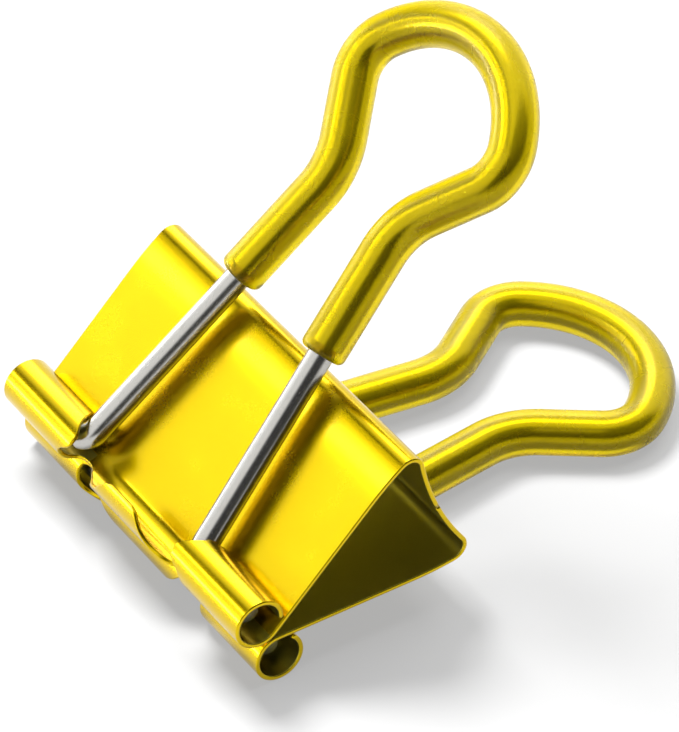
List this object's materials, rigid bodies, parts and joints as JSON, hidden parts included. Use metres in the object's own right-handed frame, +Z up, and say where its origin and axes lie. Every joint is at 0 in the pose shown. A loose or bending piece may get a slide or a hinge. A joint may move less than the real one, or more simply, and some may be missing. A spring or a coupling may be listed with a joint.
{
  "type": "binder clip",
  "caption": "Small binder clip: a bent spring-steel body with rolled barrels holding fold-back wire handles, each with a vinyl sleeve over its loop.",
  "frame": {"origin": "middle of the footprint, on the table that the clip lies on", "axes": "+X along the jaws, +Y from the jaws towards the loop of the back handle, +Z up; the clip lies on its back handle and its back barrels"},
  "size_m": [0.019, 0.0268, 0.0208],
  "materials": {
    "yellow_lacquer": "glossy gold-yellow lacquer on thin spring steel",
    "plated_wire": "bright nickel plate on spring wire",
    "yellow_vinyl": "glossy, slightly pearly soft vinyl"
  },
  "bodies": {
    "spine": {"body_spine": "yellow_lacquer"},
    "front_jaw": {"body_front_jaw": "yellow_lacquer"},
    "back_jaw": {"body_back_jaw": "yellow_lacquer"},
    "front_handle": {"front_handle_wire": "plated_wire", "front_handle_sleeve": "yellow_vinyl"},
    "back_handle": {"back_handle_wire": "plated_wire", "back_handle_sleeve": "yellow_vinyl"}
  },
  "joints": [
    {"name": "front_jaw_flex", "type": "hinge", "parent": "spine", "child": "front_jaw", "pos_m": [0, -0.00496, 0.00796], "axis": [-1, 0, 0], "range_deg": [0, 30], "stiffness_Nm_per_rad": 0.5},
    {"name": "back_jaw_flex", "type": "hinge", "parent": "spine", "child": "back_jaw", "pos_m": [0, -0.00291, 0.00295], "axis": [1, 0, 0], "range_deg": [0, 30], "stiffness_Nm_per_rad": 0.5},
    {"name": "front_handle_swing", "type": "hinge", "parent": "front_jaw", "child": "front_handle", "pos_m": [0, -0.0123, 0.00331], "axis": [1, 0, 0], "range_deg": [0, 158.45]},
    {"name": "back_handle_swing", "type": "hinge", "parent": "back_jaw", "child": "back_handle", "pos_m": [0, -0.01141, 0.00114], "axis": [-1, 0, 0], "range_deg": [0, 157.45]}
  ],
  "couplings": [
    {"joint": "back_jaw_flex", "follows": "front_jaw_flex", "ratio": 1}
  ]
}
